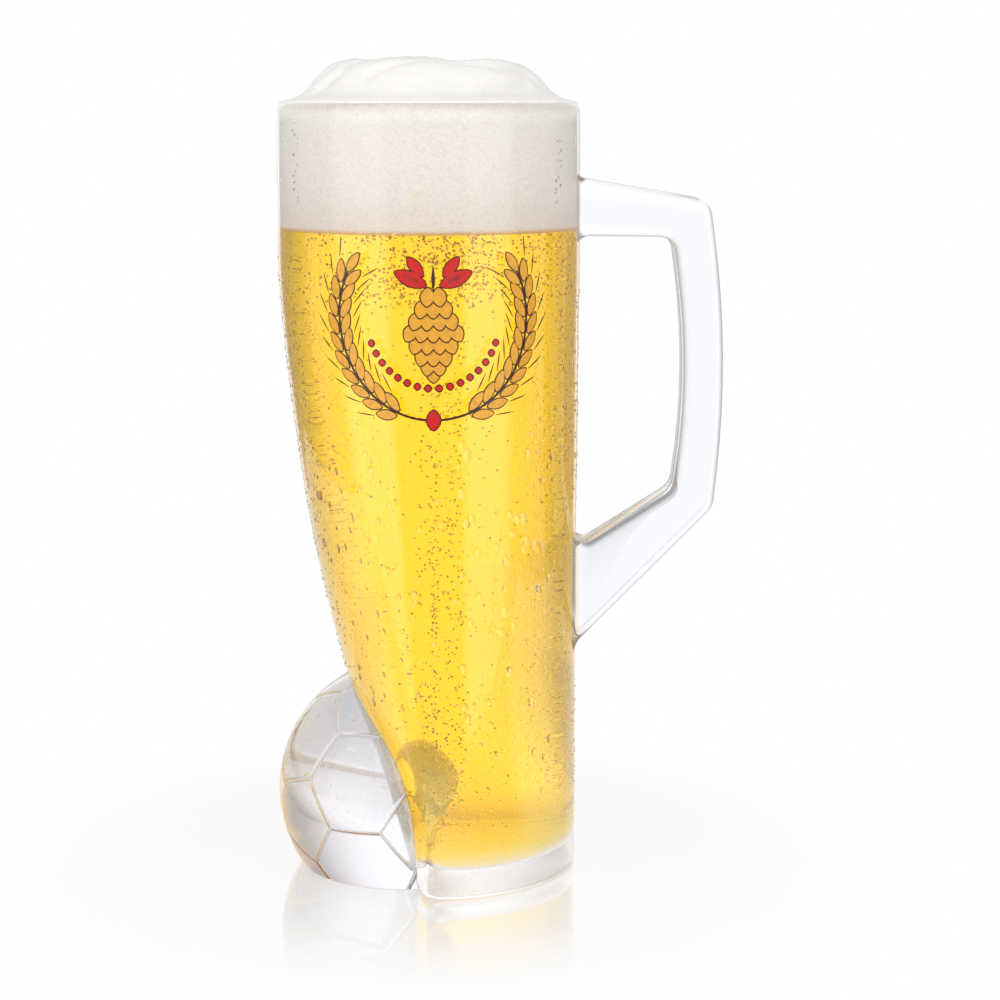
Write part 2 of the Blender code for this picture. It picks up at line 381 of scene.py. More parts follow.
# Vessel: a turned wall whose left half is drawn in over the ball
vessel = {
    "height": bodyHigh.z,
    "radius": 39.0 * mm,
    "topWall": 3.0 * mm,
    "floorWall": 4.2 * mm,
    "base": 6.5 * mm,
    "rimRound": 1.75 * mm,
    "footRound": 2.0 * mm,
    "cavityRound": 5.0 * mm,
    "outerFlank": ((0, 4), (27, 11.8), (55, 23.1), (105, 33.6), (166, 39), (204.5, 39)),
    "innerFlank": ((6.5, 2), (27, 8), (55, 19), (105, 30), (160, 35.7), (204.5, 36)),
    "belly": ((0, 0), (85, 0), (113, 0.3), (139, 0.45), (165, 0.75), (190, 0.75), (204.5, 0.5)),
    "swell": 13.2 * mm,
    "swellHeight": 28.0 * mm,
    "swellSpan": 26.0 * mm,
    "swellWidth": 17.0 * mm,
    "groundLevel": 0.05 * mm,
    "turnSteps": 160,
    "wallRings": 84,
    "ringCrowding": 1.4,
    "arcSteps": 8,
    "floorShares": (0.75, 0.5, 0.25, 0.0),
    "cutterSteps": 96,
    "cutterDrop": 2.0 * mm,
}


def smoothThrough(stations, height):
    heights = [station[0] for station in stations]
    reaches = [station[1] for station in stations]
    height = min(max(height, heights[0]), heights[-1])
    spans = [b - a for a, b in zip(heights, heights[1:])]
    slopes = [(b - a) / span for a, b, span in zip(reaches, reaches[1:], spans)]
    tangents = [slopes[0]]
    for before, after in zip(slopes, slopes[1:]):
        tangents.append(2 * before * after / (before + after) if before * after > 0 else 0.0)
    tangents.append(slopes[-1])
    i = max(k for k in range(len(spans)) if heights[k] <= height)
    t = (height - heights[i]) / spans[i]
    start = (2 * t**3 - 3 * t**2 + 1) * reaches[i] + (t**3 - 2 * t**2 + t) * spans[i] * tangents[i]
    end = (3 * t**2 - 2 * t**3) * reaches[i + 1] + (t**3 - t**2) * spans[i] * tangents[i + 1]
    return start + end


def reachAt(line, z):
    return smoothThrough(vessel[line], z / mm) * mm


def innerRadius(z):
    share = clampShare((z - vessel["base"]) / (vessel["height"] - vessel["base"]))
    return vessel["radius"] - vessel["floorWall"] - (vessel["topWall"] - vessel["floorWall"]) * share


def chordAt(radius, y):
    return math.sqrt(max(radius**2 - y**2, 0.0))


def drawIn(x, y, radius, reach):
    return chordAt(radius, y) * (radius - reach) / (2 * radius) + x * (radius + reach) / (2 * radius)


def outerX(x, y, z, grow=0.0):
    out = reachAt("belly", z) + grow
    return drawIn(x, y, vessel["radius"] + out, reachAt("outerFlank", z) + out)


def swellShare(away, span):
    return math.cos(math.pi / 2 * min(abs(away) / span, 1.0)) ** 2


def cavityX(x, y, z, grow=0.0):
    radius = innerRadius(z) + grow
    reach = reachAt("innerFlank", z) + 2 * grow
    moved = drawIn(x, y, radius, reach)
    chord = chordAt(radius, y)
    leftShare = (chord - moved) * radius / max(chord * (radius + reach), nearZero)
    upright = swellShare(z - vessel["swellHeight"], vessel["swellSpan"])
    across = swellShare(y, vessel["swellWidth"])
    return moved + vessel["swell"] * upright * across * clampShare(leftShare)


def ringLevels(low, high):
    count = vessel["wallRings"]
    return [low + (high - low) * (ring / count) ** vessel["ringCrowding"] for ring in range(count + 1)]


def outerProfile(grow=0.0):
    radius = vessel["radius"] + grow
    foot = vessel["footRound"]
    curve = arc(radius - foot, foot, foot, 0, -90, vessel["arcSteps"])
    levels = ringLevels(foot, vessel["height"] - vessel["rimRound"])
    wall = [(radius + reachAt("belly", z), z) for z in reversed(levels)]
    floorLine = [(radius * share, 0.0) for share in vessel["floorShares"]]
    return wall[:-1] + curve + floorLine


def cavityProfile(grow=0.0, top=None):
    low = vessel["base"] + vessel["cavityRound"]
    top = top or vessel["height"] - vessel["rimRound"]
    corner = arc(innerRadius(low) - vessel["cavityRound"], low, vessel["cavityRound"] + grow, -90, 0,
                 vessel["arcSteps"])
    wall = [(innerRadius(z) + grow, z) for z in ringLevels(low, top)]
    floorLine = [(corner[0][0] * share, corner[0][1]) for share in reversed(vessel["floorShares"])]
    return floorLine + corner[:-1] + wall


def makeVessel():
    height, rimRound = vessel["height"], vessel["rimRound"]
    rim = arc(innerRadius(height) + rimRound, height - rimRound, rimRound, 180, 0, 2 * vessel["arcSteps"])
    work = turnProfile(cavityProfile() + rim[1:-1] + outerProfile(), vessel["turnSteps"])
    inside = set()
    for vert in work.verts:
        x, y, z = vert.co
        if z > vessel["base"] / 2 and math.hypot(x, y) < vessel["radius"] - vessel["topWall"] / 2:
            vert.co.x = cavityX(x, y, z)
            inside.add(vert)
        else:
            vert.co.x = outerX(x, y, z)
    for face in work.faces:
        face.material_index = 1 if all(vert in inside for vert in face.verts) else 0
        if all(vert.co.z < vessel["groundLevel"] for vert in face.verts):
            face.material_index = 2
    faceOutwards(work)
    newPiece("vessel", work, [wetGlass, clearGlass, groundGlass], ["glass_body"])


def vesselCutter(sunk, material=0):
    work = turnProfile([(0.0, vessel["height"])] + outerProfile(-sunk), vessel["cutterSteps"])
    for vert in work.verts:
        x, y, z = vert.co
        vert.co.x = outerX(x, y, z, -sunk)
        if z < sunk:
            vert.co.z = -vessel["cutterDrop"]
    for face in work.faces:
        face.material_index = material
    faceOutwards(work)
    return work


makeVessel()


# Football: a ball with 32 panels, cut flat on the table and sunk a little into the vessel
football = {
    "radius": 35.4 * mm,
    "centre": Vector((-6.1, 0.0, 20.0)) * mm,
    "turn": Euler((math.radians(-22.7), math.radians(30.1), math.radians(-153.9))),
    "seamFloor": 0.12 * mm,
    "seamEdge": 0.52 * mm,
    "seamDepth": 0.32 * mm,
    "rearDepth": 0.06 * mm,  # seams are shallower at the back, which the ball magnifies
    "rearReach": (-4.0 * mm, 6.0 * mm),
    "frostFrom": 0.2,
    "fineReach": (1.5 * mm, 0.8 * mm),
    "shownReach": 6.0 * mm,
    "shownFloor": -1.0 * mm,
    "pentagonDistance": 2.32744,
    "hexagonDistance": 2.26728,
    "sunk": 0.25 * mm,
    "subdivisions": 6,
    "sharpDegrees": 40,
}


def panelPlanes():
    seed = bmesh.new()
    bmesh.ops.create_icosphere(seed, subdivisions=1, radius=1.0)
    planes = [vert.co.normalized() / football["pentagonDistance"] for vert in seed.verts]
    planes += [face.calc_center_median().normalized() / football["hexagonDistance"] for face in seed.faces]
    seed.free()
    return planes


def seamDistance(direction, planes):
    first = second = None
    firstReach = secondReach = -1.0
    for plane in planes:
        reach = direction.dot(plane)
        if reach > firstReach:
            second, secondReach = first, firstReach
            first, firstReach = plane, reach
        elif reach > secondReach:
            second, secondReach = plane, reach
    return (firstReach - secondReach) / (first - second).length


def refineSeams(work, planes, place):
    radius = football["radius"]
    for reach in football["fineReach"]:  # finer faces along the seams that show
        near = []
        for edge in work.edges:
            middle = (edge.verts[0].co + edge.verts[1].co).normalized()
            spot = place @ (middle * radius)
            isShown = spot.z > football["shownFloor"] and spot.x < football["shownReach"]
            if isShown and seamDistance(middle, planes) * radius < reach:
                near.append(edge)
        bmesh.ops.subdivide_edges(work, edges=near, cuts=1, use_grid_fill=True)
        bmesh.ops.triangulate(work, faces=[face for face in work.faces if len(face.verts) > 3])


def sinkSeams(work, planes, place):
    radius, seamFloor, seamDepth = football["radius"], football["seamFloor"], football["seamDepth"]
    start, end = football["rearReach"]
    frosted = work.verts.layers.float.new("seam")
    for vert in work.verts:
        direction = vert.co.normalized()
        gap = seamDistance(direction, planes) * radius
        share = clampShare((gap - seamFloor) / (football["seamEdge"] - seamFloor))
        sink = 1.0 - share * share * (3 - 2 * share)
        vert[frosted] = sink
        rear = clampShare(((place @ (direction * radius)).y - start) / (end - start))
        depth = seamDepth + (football["rearDepth"] - seamDepth) * rear
        vert.co = direction * (radius - depth * sink)
    for face in work.faces:
        face.material_index = 1 if min(vert[frosted] for vert in face.verts) > football["frostFrom"] else 0


def makeFootball():
    planes = panelPlanes()
    place = Matrix.LocRotScale(football["centre"], football["turn"], None)
    work = bmesh.new()
    bmesh.ops.create_icosphere(work, subdivisions=football["subdivisions"], radius=1.0)
    refineSeams(work, planes, place)
    sinkSeams(work, planes, place)
    bmesh.ops.transform(work, matrix=place, verts=work.verts[:])
    cutOffBelow(work, 0)
    faceOutwards(work)
    ball = newPiece("football_glass", work, [ballGlass, seamFrostAndShade, joinGlass], ["football"])
    cutPiece(ball, vesselCutter(football["sunk"], material=2), football["sharpDegrees"])


makeFootball()


# Handle: a flat bar of glass bent to a D, with rounded edges and two welded feet
handle = {
    "depth": 17.0 * mm,
    "edge": 2.2 * mm,
    "edgeSegments": 5,
    "cornerStep": math.radians(6),
    "fewestSteps": 8,
    "sunk": 0.25 * mm,
    "collar": 39.7 * mm,
    "sharpDegrees": 40,
    "outline": (  # x, z and rounding of each corner
        (32.0, 192.0, 0.0), (36.5, 192.0, 0.0), (39.6, 185.0, 3.5), (73.6, 179.2, 5.0),
        (79.4, 139.0, 260.0), (75.3, 98.2, 6.0), (39.6, 62.0, 6.0), (36.5, 54.0, 0.0),
        (32.0, 54.0, 0.0), (32.0, 97.0, 0.0), (36.5, 97.0, 0.0), (39.4, 87.0, 3.0),
        (64.4, 102.9, 6.0), (68.6, 134.0, 190.0), (63.9, 169.7, 4.0), (39.4, 170.0, 4.0),
        (36.5, 160.0, 0.0), (32.0, 160.0, 0.0),
    ),
}


def roundedOutline(corners):
    points = []
    for i, (x, z, radius) in enumerate(corners):
        corner = Vector((x, z))
        if radius == 0.0:
            points.append(corner)
            continue
        before = (Vector(corners[i - 1][:2]) - corner).normalized()
        after = (Vector(corners[(i + 1) % len(corners)][:2]) - corner).normalized()
        halfAngle = before.angle(after) / 2
        centre = corner + (before + after).normalized() * (radius / math.sin(halfAngle))
        start = corner + before * (radius / math.tan(halfAngle)) - centre
        sweep = math.pi - 2 * halfAngle
        turn = math.copysign(sweep, before.x * after.y - before.y * after.x)
        steps = max(handle["fewestSteps"], math.ceil(sweep / handle["cornerStep"]))
        for step in range(steps + 1):
            point = start.copy()
            point.rotate(Matrix.Rotation(-turn * step / steps, 2))
            points.append(centre + point)
    return points


def makeHandle():
    work = bmesh.new()
    half = handle["depth"] / 2
    ring = [work.verts.new((x * mm, -half, z * mm)) for x, z in roundedOutline(handle["outline"])]
    extrudeBy(work, [work.faces.new(ring)], (0.0, handle["depth"], 0.0))
    edges = [edge for edge in work.edges if abs(edge.verts[0].co.y - edge.verts[1].co.y) < half]
    bmesh.ops.bevel(work, geom=edges, offset=handle["edge"], offset_type="OFFSET", affect="EDGES",
                    segments=handle["edgeSegments"], profile=0.5, material=-1)
    bmesh.ops.bisect_plane(work, geom=wholeOf(work), plane_co=(handle["collar"], 0, 0), plane_no=(1, 0, 0))
    for face in work.faces:
        face.material_index = 1 if face.calc_center_median().x < handle["collar"] else 0
    piece = newPiece("handle_glass", work, [handleGlass, weldGlass], ["handle"])
    cutPiece(piece, vesselCutter(handle["sunk"]), handle["sharpDegrees"])


makeHandle()


# Beer: fills the cavity, reaching a hair into the glass so that the two meet without an air film
beer = {
    "level": foamLow.z,
    "overlap": 0.12 * mm,
    "index": 1.34,
    "absorb": (0.9965, 0.897, 0.03, 1.0),
    "density": 82.0,
    "sharpDegrees": 50,
    "seed": 7,
    "middle": 3.0,
    "chains": 9,
    "chainJitter": 0.7,
    "wallMargin": 0.6 * mm,
    # painted shade: the bubble tint darkens the light through each bubble to a dark olive dot, in place of
    # the darkness their refraction gives
    "bubbleShadeTint": (0.42, 0.5, 0.2, 1.0),
    "bubbleGrain": 800.0,
    "bubbleRoughness": (0.0, 0.02),
    "bubbleShape": (8, 6),
    "crowds": (  # count, heights, depths, spread, radius (least, most, usual), in chains or loose
        (560, (20, 171), (-34.5, -27), 4.6, (0.18, 0.4, 0.27), True),
        (260, (14, 171), (-34.5, -15), 9, (0.16, 0.36, 0.24), False),
        (640, (153, 171), (-35, 0), 20, (0.2, 0.45, 0.28), False),
        (140, (14, 171), (-30, 5), 20, (0.16, 0.4, 0.25), False),
    ),
}


def makeBeerMaterial():
    material, tree, shader = newGlass("lager", white, beer["index"])
    absorb = addNode(tree, "ShaderNodeVolumeAbsorption", Color=beer["absorb"], Density=beer["density"])
    feed(tree, shader, Roughness=0.0)
    feed(tree, tree.nodes["Material Output"], Volume=absorb.outputs["Volume"])
    return material


def makeBubbleMaterial():
    material, tree, shader = newGlass("bubbleWall", beer["bubbleShadeTint"], beer["index"])
    roughen(tree, shader, beer["bubbleGrain"], beer["bubbleRoughness"])
    return material


def fillCavity(work, grow):
    for vert in work.verts:
        x, y, z = vert.co
        vert.co.x = cavityX(x, y, z, grow)
    faceOutwards(work)


def isInCavity(x, y, z, margin):
    radius = innerRadius(z) - margin
    if abs(y) >= radius:
        return False
    chord = chordAt(radius, y)
    return cavityX(-chord, y, z, -margin) < x < chord


def bubblePlaces():
    dice = random.Random(beer["seed"])
    middle = beer["middle"]
    places = []
    for count, heights, depths, spread, radii, inChains in beer["crowds"]:
        stems = [dice.gauss(middle, spread) for _ in range(beer["chains"])]
        made = 0
        while made < count:
            z = dice.uniform(*heights) * mm
            y = dice.uniform(*depths) * mm
            x = dice.gauss(middle, spread) * mm
            if inChains:
                x = (dice.choice(stems) + dice.gauss(0.0, beer["chainJitter"])) * mm
            radius = dice.triangular(*radii) * mm
            if isInCavity(x, y, z, radius + beer["wallMargin"]):
                places.append(Matrix.LocRotScale(Vector((x, y, z)), None, Vector((radius,) * 3)))
                made += 1
    return places


def addBubbles(work):
    ball = unitBall(*beer["bubbleShape"])
    bmesh.ops.reverse_faces(ball, faces=ball.faces[:])
    for face in ball.faces:
        face.material_index = 1
    template = keepMesh("bubble", ball)
    addCopies(work, template, bubblePlaces())
    bpy.data.meshes.remove(template)


def makeBeer():
    side = cavityProfile(beer["overlap"], beer["level"])
    top = [(side[-1][0] * share, beer["level"]) for share in vessel["floorShares"]]
    work = turnProfile(side + top, vessel["turnSteps"])
    fillCavity(work, beer["overlap"])
    addBubbles(work)
    materials = [makeBeerMaterial(), makeBubbleMaterial()]
    newPiece("beer_fill", work, materials, ["beer"], sharpDegrees=beer["sharpDegrees"])


makeBeer()


# Foam head: a soft crown of two lobes above the rim
foam = {
    "sunk": 0.4 * mm,
    "overlap": 0.12 * mm,
    "crown": ((0, 216.0), (12, 215.9), (20, 215.5), (24.6, 214.5), (28.2, 212.3), (30.5, 209.7),
              (32.2, 207.6), (35.1, 205.7), (37.8, 204.95), (38.9, 204.6)),
    "shoulder": 204.4 * mm,
    "lipEnd": 48.0,
    "underShares": (0.0, 0.5),
    "wallRings": 26,
    "crownRings": 56,
    "sharpDegrees": 60,
    "creases": (
        ((-14, -25), (-4, -21.5), (7, -20.5), (18, -20), (27, -9)),
        ((-29, -15), (-22, -17), (-18, -13)),
        ((-32, -4), (-26, -9), (-21, -8)),
        ((16, -28), (23, -22), (26, -16)),
    ),
    "creaseDepth": 1.5 * mm,
    "creaseWidth": 1.3 * mm,
    "reliefRise": 4.0 * mm,
    "dip": 1.2 * mm,
    "dipPlace": (7.0 * mm, -10.0 * mm),
    "dipSpan": (5.0 * mm, 20.0 * mm),
    "lump": 1.1 * mm,
    "lumpSize": 12.0 * mm,
    "fold": 0.9 * mm,
    "foldSize": 17.0 * mm,
    "foldStart": Vector((3.1, 7.7, 1.3)),
    "froth": 0.14 * mm,
    "frothSize": 1.9 * mm,
}
frothFinish = {
    "cellScale": 1500.0,
    "fineScale": 3200.0,
    "fineShare": 0.5,
    "bumpStrength": 0.3,
    "bumpHeight": 0.4 * mm,
    "roughBand": (0.0, 0.6, 0.55, 0.9),
    "scatter": 0.3,
    "scatterRadius": (1.0, 0.9, 0.7),
    "scatterScale": 3.0 * mm,
    "lowColour": (0.97, 0.93, 0.88, 1.0),
    "highColour": (0.945, 0.93, 0.905, 1.0),
    "spotColour": (0.93, 0.87, 0.7, 1.0),
    "spotScale": 260.0,
    "spotBand": (0.6, 0.75, 0.0, 0.5),
    "spotFade": 2.0 * mm,
    "poreColour": (0.84, 0.8, 0.75, 1.0),
    "poreBand": (0.35, 0.8, 0.0, 0.5),
    # painted shade: dark dots in a narrow upright band at each side of the foam, standing for the dark look
    # of the drops there
    "dropShadeColour": (0.34, 0.31, 0.27, 1.0),
    "darkScale": 900.0,
    "darkShare": 0.4,
    "darkBand": (0.26, 0.4, 1.0, 0.0),
    "darkTurn": math.radians(61.7),
    "darkSpread": math.radians(2.6),
    "darkHeights": (179.0 * mm, 201.0 * mm),
    # painted shade: the crown above the rim gets a darker foam colour than the foam behind the glass,
    # because it gets more light
    "crownShadeColour": (0.845, 0.83, 0.805, 1.0),
    "crownFade": 1.5 * mm,
    "wetColour": (0.78, 0.5, 0.16, 1.0),
    "wetReach": 1.3 * mm,
    "wetRagged": 0.6 * mm,
}


# Painted shade: dark dots in an upright band near 62 degrees to each side, in place of the darkness of the
# drops in front of the foam.
def paintedDropShade(tree, place):
    spot = splitPlace(tree, place)
    turn = addMath(tree, "ARCTAN2", spot["X"], times(tree, spot["Y"], -1.0))
    aside = addMath(tree, "SUBTRACT", addMath(tree, "ABSOLUTE", turn), frothFinish["darkTurn"])
    column = addMath(tree, "LESS_THAN", addMath(tree, "ABSOLUTE", aside), frothFinish["darkSpread"])
    cells = addCells(tree, place, frothFinish["darkScale"])
    pick = addNode(tree, "ShaderNodeSeparateColor", Color=cells["Color"])
    isPicked = addMath(tree, "LESS_THAN", pick.outputs[0], frothFinish["darkShare"])
    chosen = times(tree, isPicked, column)
    low, high = frothFinish["darkHeights"]
    inReach = times(tree, addMath(tree, "GREATER_THAN", spot["Z"], low),
                    addMath(tree, "LESS_THAN", spot["Z"], high))
    dot = mapRange(tree, cells["Distance"], *frothFinish["darkBand"])
    return times(tree, dot, chosen, inReach)


def makeFoamMaterial():
    material, tree, shader = newMaterial("foamFroth")
    finish, shoulder = frothFinish, foam["shoulder"]
    place = objectPlace(tree)
    cells = addCells(tree, place, finish["cellScale"])["Distance"]
    fine = addCells(tree, place, finish["fineScale"])["Distance"]
    height = addMath(tree, "ADD", cells, times(tree, fine, finish["fineShare"]))
    addBump(tree, shader, height, finish["bumpStrength"], finish["bumpHeight"])
    z = splitPlace(tree, place)["Z"]
    spots = mapRange(tree, addNoise(tree, place, finish["spotScale"]), *finish["spotBand"])
    belowRim = mapRange(tree, z, shoulder, shoulder + finish["spotFade"], 1.0, 0.0)
    aboveRim = mapRange(tree, z, shoulder, shoulder + finish["crownFade"])
    ragged = addMath(tree, "ADD", z, times(tree, cells, finish["wetRagged"]))
    wet = mapRange(tree, ragged, foamLow.z, foamLow.z + finish["wetReach"], 1.0, 0.0)
    lift = mapRange(tree, z, foamLow.z, shoulder)
    colour = mixColours(tree, lift, finish["lowColour"], finish["highColour"])
    coats = (
        (times(tree, spots, belowRim), "spotColour"),
        (mapRange(tree, cells, *finish["poreBand"]), "poreColour"),
        (paintedDropShade(tree, place), "dropShadeColour"),
        (aboveRim, "crownShadeColour"),
        (wet, "wetColour"),
    )
    for share, coat in coats:
        colour = mixColours(tree, share, colour, finish[coat])
    feed(tree, shader, Base_Color=colour, Roughness=mapRange(tree, cells, *finish["roughBand"]),
         Subsurface_Weight=finish["scatter"], Subsurface_Radius=finish["scatterRadius"],
         Subsurface_Scale=finish["scatterScale"])
    return material


def nearestOn(start, end, point):
    along = end - start
    return start + along * clampShare((point - start).dot(along) / along.length_squared)


def creaseDip(spot):
    dip = 0.0
    flat = Vector((spot.x, spot.y)) / mm
    for line in foam["creases"]:
        near = min((flat - nearestOn(Vector(a), Vector(b), flat)).length for a, b in zip(line, line[1:]))
        dip += foam["creaseDepth"] * math.exp(-(near * mm / foam["creaseWidth"]) ** 2)
    return dip


def foamRelief(spot):
    dipX = (spot.x - foam["dipPlace"][0]) / foam["dipSpan"][0]
    dipY = (spot.y - foam["dipPlace"][1]) / foam["dipSpan"][1]
    dip = foam["dip"] * math.exp(-dipX * dipX - dipY * dipY)
    lump = noise.noise(spot / foam["lumpSize"]) * foam["lump"]
    fold = -abs(noise.noise(spot / foam["foldSize"] + foam["foldStart"])) * foam["fold"]
    froth = noise.noise(spot / foam["frothSize"]) * foam["froth"]
    return lump + fold + froth - dip - creaseDip(spot)


def makeFoam():
    low = foamLow.z - foam["sunk"]
    high = vessel["height"] - vessel["rimRound"]
    rings = foam["wallRings"]
    levels = [low + (high - low) * ring / rings for ring in range(rings)]
    wall = [(innerRadius(z) + foam["overlap"], z) for z in levels]
    lip = arc(innerRadius(high) + vessel["rimRound"], high, vessel["rimRound"] - foam["overlap"], 180,
              foam["lipEnd"], vessel["arcSteps"])
    edge = foam["crown"][-1][0] * mm
    rings = foam["crownRings"]
    radii = [edge * (1 - ring / rings) for ring in range(rings + 1)]
    crown = [(radius, smoothThrough(foam["crown"], radius / mm) * mm) for radius in radii]
    under = [(wall[0][0] * share, low) for share in foam["underShares"]]
    work = turnProfile(under + wall + lip + crown, vessel["turnSteps"])
    fillCavity(work, foam["overlap"])
    work.normal_update()
    relief = {}
    for vert in work.verts:
        share = clampShare((vert.co.z - foam["shoulder"]) / foam["reliefRise"])
        relief[vert] = vert.normal * foamRelief(vert.co) * share
    for vert, move in relief.items():
        vert.co += move
    newPiece("foam_crown", work, [makeFoamMaterial()], ["foam_head"],
             sharpDegrees=foam["sharpDegrees"])


makeFoam()


# Condensation: water drops on the outside of the vessel
condensation = {
    "seed": 11,
    "index": 1.33,
    "grain": 900.0,
    "roughness": (0.0, 0.03),
    "contact": math.radians(72),
    "dropShape": (10, 11),
    "sharpDegrees": 60,
    "sunk": 0.03 * mm,
    "crowds": (  # count, turns in degrees, heights, radius (least, most, usual), stretch
        (520, (-50, 50), (14, 202), (0.16, 0.42, 0.24), (0.9, 1.15)),
        (240, (-110, 110), (14, 202), (0.16, 0.4, 0.22), (0.9, 1.15)),
        (120, (110, 153), (14, 202), (0.16, 0.5, 0.24), (0.9, 1.15)),
        (120, (207, 250), (14, 202), (0.16, 0.5, 0.24), (0.9, 1.15)),
        (90, (-56, 56), (14, 165), (0.45, 0.85, 0.55), (1.0, 1.5)),
        (44, (12, 56), (36, 122), (0.8, 1.35, 0.95), (1.15, 1.7)),
        (26, (-62, 10), (50, 118), (0.6, 1.0, 0.7), (1.1, 1.7)),
        (16, (110, 152), (30, 150), (0.6, 1.1, 0.8), (1.1, 1.8)),
        (16, (208, 250), (30, 150), (0.6, 1.1, 0.8), (1.1, 1.8)),
        (520, (56, 97), (14, 165), (0.18, 0.5, 0.28), (0.9, 1.3)),
        (320, (-97, -56), (48, 165), (0.18, 0.5, 0.28), (0.9, 1.3)),
    ),
    "ballClear": 1.5 * mm,
    "weldHalf": 12.0 * mm,
    "welds": ((50.0, 100.0), (156.0, 195.0)),
    "turnStep": 0.002,
    "heightStep": 0.1 * mm,
}


def surfacePoint(turn, z):
    radius = vessel["radius"] + reachAt("belly", z)
    x = radius * math.sin(turn)
    y = -radius * math.cos(turn)
    return Vector((outerX(x, y, z), y, z))


def surfaceFrame(turn, z):
    aside, rise = condensation["turnStep"], condensation["heightStep"]
    across = (surfacePoint(turn + aside, z) - surfacePoint(turn - aside, z)).normalized()
    up = (surfacePoint(turn, z + rise) - surfacePoint(turn, z - rise)).normalized()
    out = across.cross(up).normalized()
    return across, out.cross(across), out


def isBareGlass(spot):
    onWeld = abs(spot.y) < condensation["weldHalf"] and spot.x > 0
    if onWeld and any(low < spot.z / mm < high for low, high in condensation["welds"]):
        return False
    if (spot - football["centre"]).length < football["radius"] + condensation["ballClear"]:
        return False
    inWidth = abs(math.degrees(math.atan2(spot.x, -spot.y)) - ornament["turn"]) < ornament["keepClear"][0]
    return not (inWidth and abs(spot.z - ornament["height"]) < ornament["keepClear"][1])


def dropPlaces():
    dice = random.Random(condensation["seed"])
    places = []
    for count, turns, heights, radii, stretches in condensation["crowds"]:
        for _ in range(count):
            turn = math.radians(dice.uniform(*turns))
            z = dice.uniform(*heights) * mm
            radius = dice.triangular(*radii) * mm
            stretch = dice.uniform(*stretches)
            spot = surfacePoint(turn, z)
            if not isBareGlass(spot):
                continue
            across, up, out = surfaceFrame(turn, z)
            turned = Matrix((across, up, out)).transposed().to_4x4()
            size = Matrix.Diagonal((radius, radius * stretch, radius, 1.0))
            places.append(Matrix.Translation(spot - out * condensation["sunk"]) @ turned @ size)
    return places


def makeWater():
    material, tree, shader = newGlass("dropWater", white, condensation["index"])
    roughen(tree, shader, condensation["grain"], condensation["roughness"])
    return material


def makeDrops():
    dome = unitBall(*condensation["dropShape"])
    level = math.cos(condensation["contact"])
    size = Vector((1.0, 1.0, 1.0)) / math.sin(condensation["contact"])
    cutOffBelow(dome, level)
    bmesh.ops.translate(dome, verts=dome.verts[:], vec=(0.0, 0.0, -level))
    bmesh.ops.scale(dome, verts=dome.verts[:], vec=size)
    faceOutwards(dome)
    template = keepMesh("drop", dome)
    work = bmesh.new()
    addCopies(work, template, dropPlaces())
    bpy.data.meshes.remove(template)
    newPiece("condensation_drops", work, [makeWater()],
             sharpDegrees=condensation["sharpDegrees"])


# Front ornament: two bent barley ears round a hop cone, in fired enamel
ornament = {
    "turn": 3.0,
    "height": 146.5 * mm,
    "keepClear": (52.0, 25.0 * mm),
    "thickness": 0.06 * mm,
    "layer": 0.07 * mm,
    "sunk": 0.01 * mm,
    "outline": 0.35 * mm,
    "sharpDegrees": 40,
    "enamels": {  # colour and metallic share
        "dark": ((0.055, 0.018, 0.008, 1.0), 0.0),
        "gold": ((0.83, 0.4, 0.04, 1.0), 0.1),
        "red": ((0.62, 0.015, 0.012, 1.0), 0.0),
        "undercoat": ((0.85, 0.8, 0.7, 1.0), 0.0),
    },
    "cloudScale": 700.0,
    "cloudDetail": 3.0,
    "cloudBand": (0.35, 0.7),
    "cloudDeep": 0.8,
    "cloudRoughness": (0.25, 0.45),
    "cloudBump": 0.2,
    "cloudHeight": 0.05 * mm,
    "underside": -0.5,
    "leafSides": 14,
    "leafTaper": 0.35,
    "wreathRadius": 25.0,
    "wreathCentre": (0.0, 4.0),
    "earStart": -62.0,
    "earEnd": 27.0,
    "stem": (4.4, 0.7),
    "stemStart": -92.0,
    "stemSteps": 25,
    "grainPairs": 10,
    "grain": (5.6, 2.3),
    "grainReach": 1.9,
    "grainLean": 24.0,
    "tipLead": 8.0,
    "awn": (5.5, 0.35),
    "awnReach": 5.2,
    "awnLead": 10.0,
    "awnTurn": 6.0,
    "awnLean": 1.2,
    "coneRows": ((2, 10.0), (3, 7.0), (4, 4.0), (5, 1.0), (4, -2.0), (3, -5.0), (2, -7.4), (1, -9.2)),
    "scale": (4.6, 3.3),
    "scaleStep": 0.86,
    "scaleFan": 4.5,
    "leaves": ((5.6, 14.4, 8.5, 3.6, 24.0), (4.4, 17.4, 6.0, 2.6, 52.0)),
    "stalk": (0.0, 14.5, 6.0, 0.9, 90.0),
    "beadCount": 16,
    "beadStart": -160.0,
    "beadSweep": 140.0,
    "beadReach": 17.0,
    "bead": (1.5, 1.5, 0.0),
    "jewel": (0.0, -21.0, 5.0, 3.4, 90.0),
}


def makeEnamel(name, colour, metallic):
    material, tree, shader = newMaterial(name)
    cloud = addNoise(tree, objectPlace(tree), ornament["cloudScale"], ornament["cloudDetail"])
    deep = tuple(channel * ornament["cloudDeep"] for channel in colour[:3]) + (1.0,)
    share = mapRange(tree, cloud, *ornament["cloudBand"])
    roughness = mapRange(tree, cloud, *grainBand, *ornament["cloudRoughness"])
    feed(tree, shader, Base_Color=mixColours(tree, share, colour, deep), Roughness=roughness,
         Metallic=metallic)
    addBump(tree, shader, cloud, ornament["cloudBump"], ornament["cloudHeight"])
    return material


def makeLeafTemplate():
    leaf = bmesh.new()
    bmesh.ops.create_circle(leaf, segments=ornament["leafSides"], radius=0.5, cap_ends=True)
    for vert in leaf.verts:
        vert.co.y *= 1.0 - (2 * abs(vert.co.x)) ** 2 * ornament["leafTaper"]
    extrudeBy(leaf, leaf.faces[:], (0.0, 0.0, 1.0))
    return keepMesh("leaf", leaf)


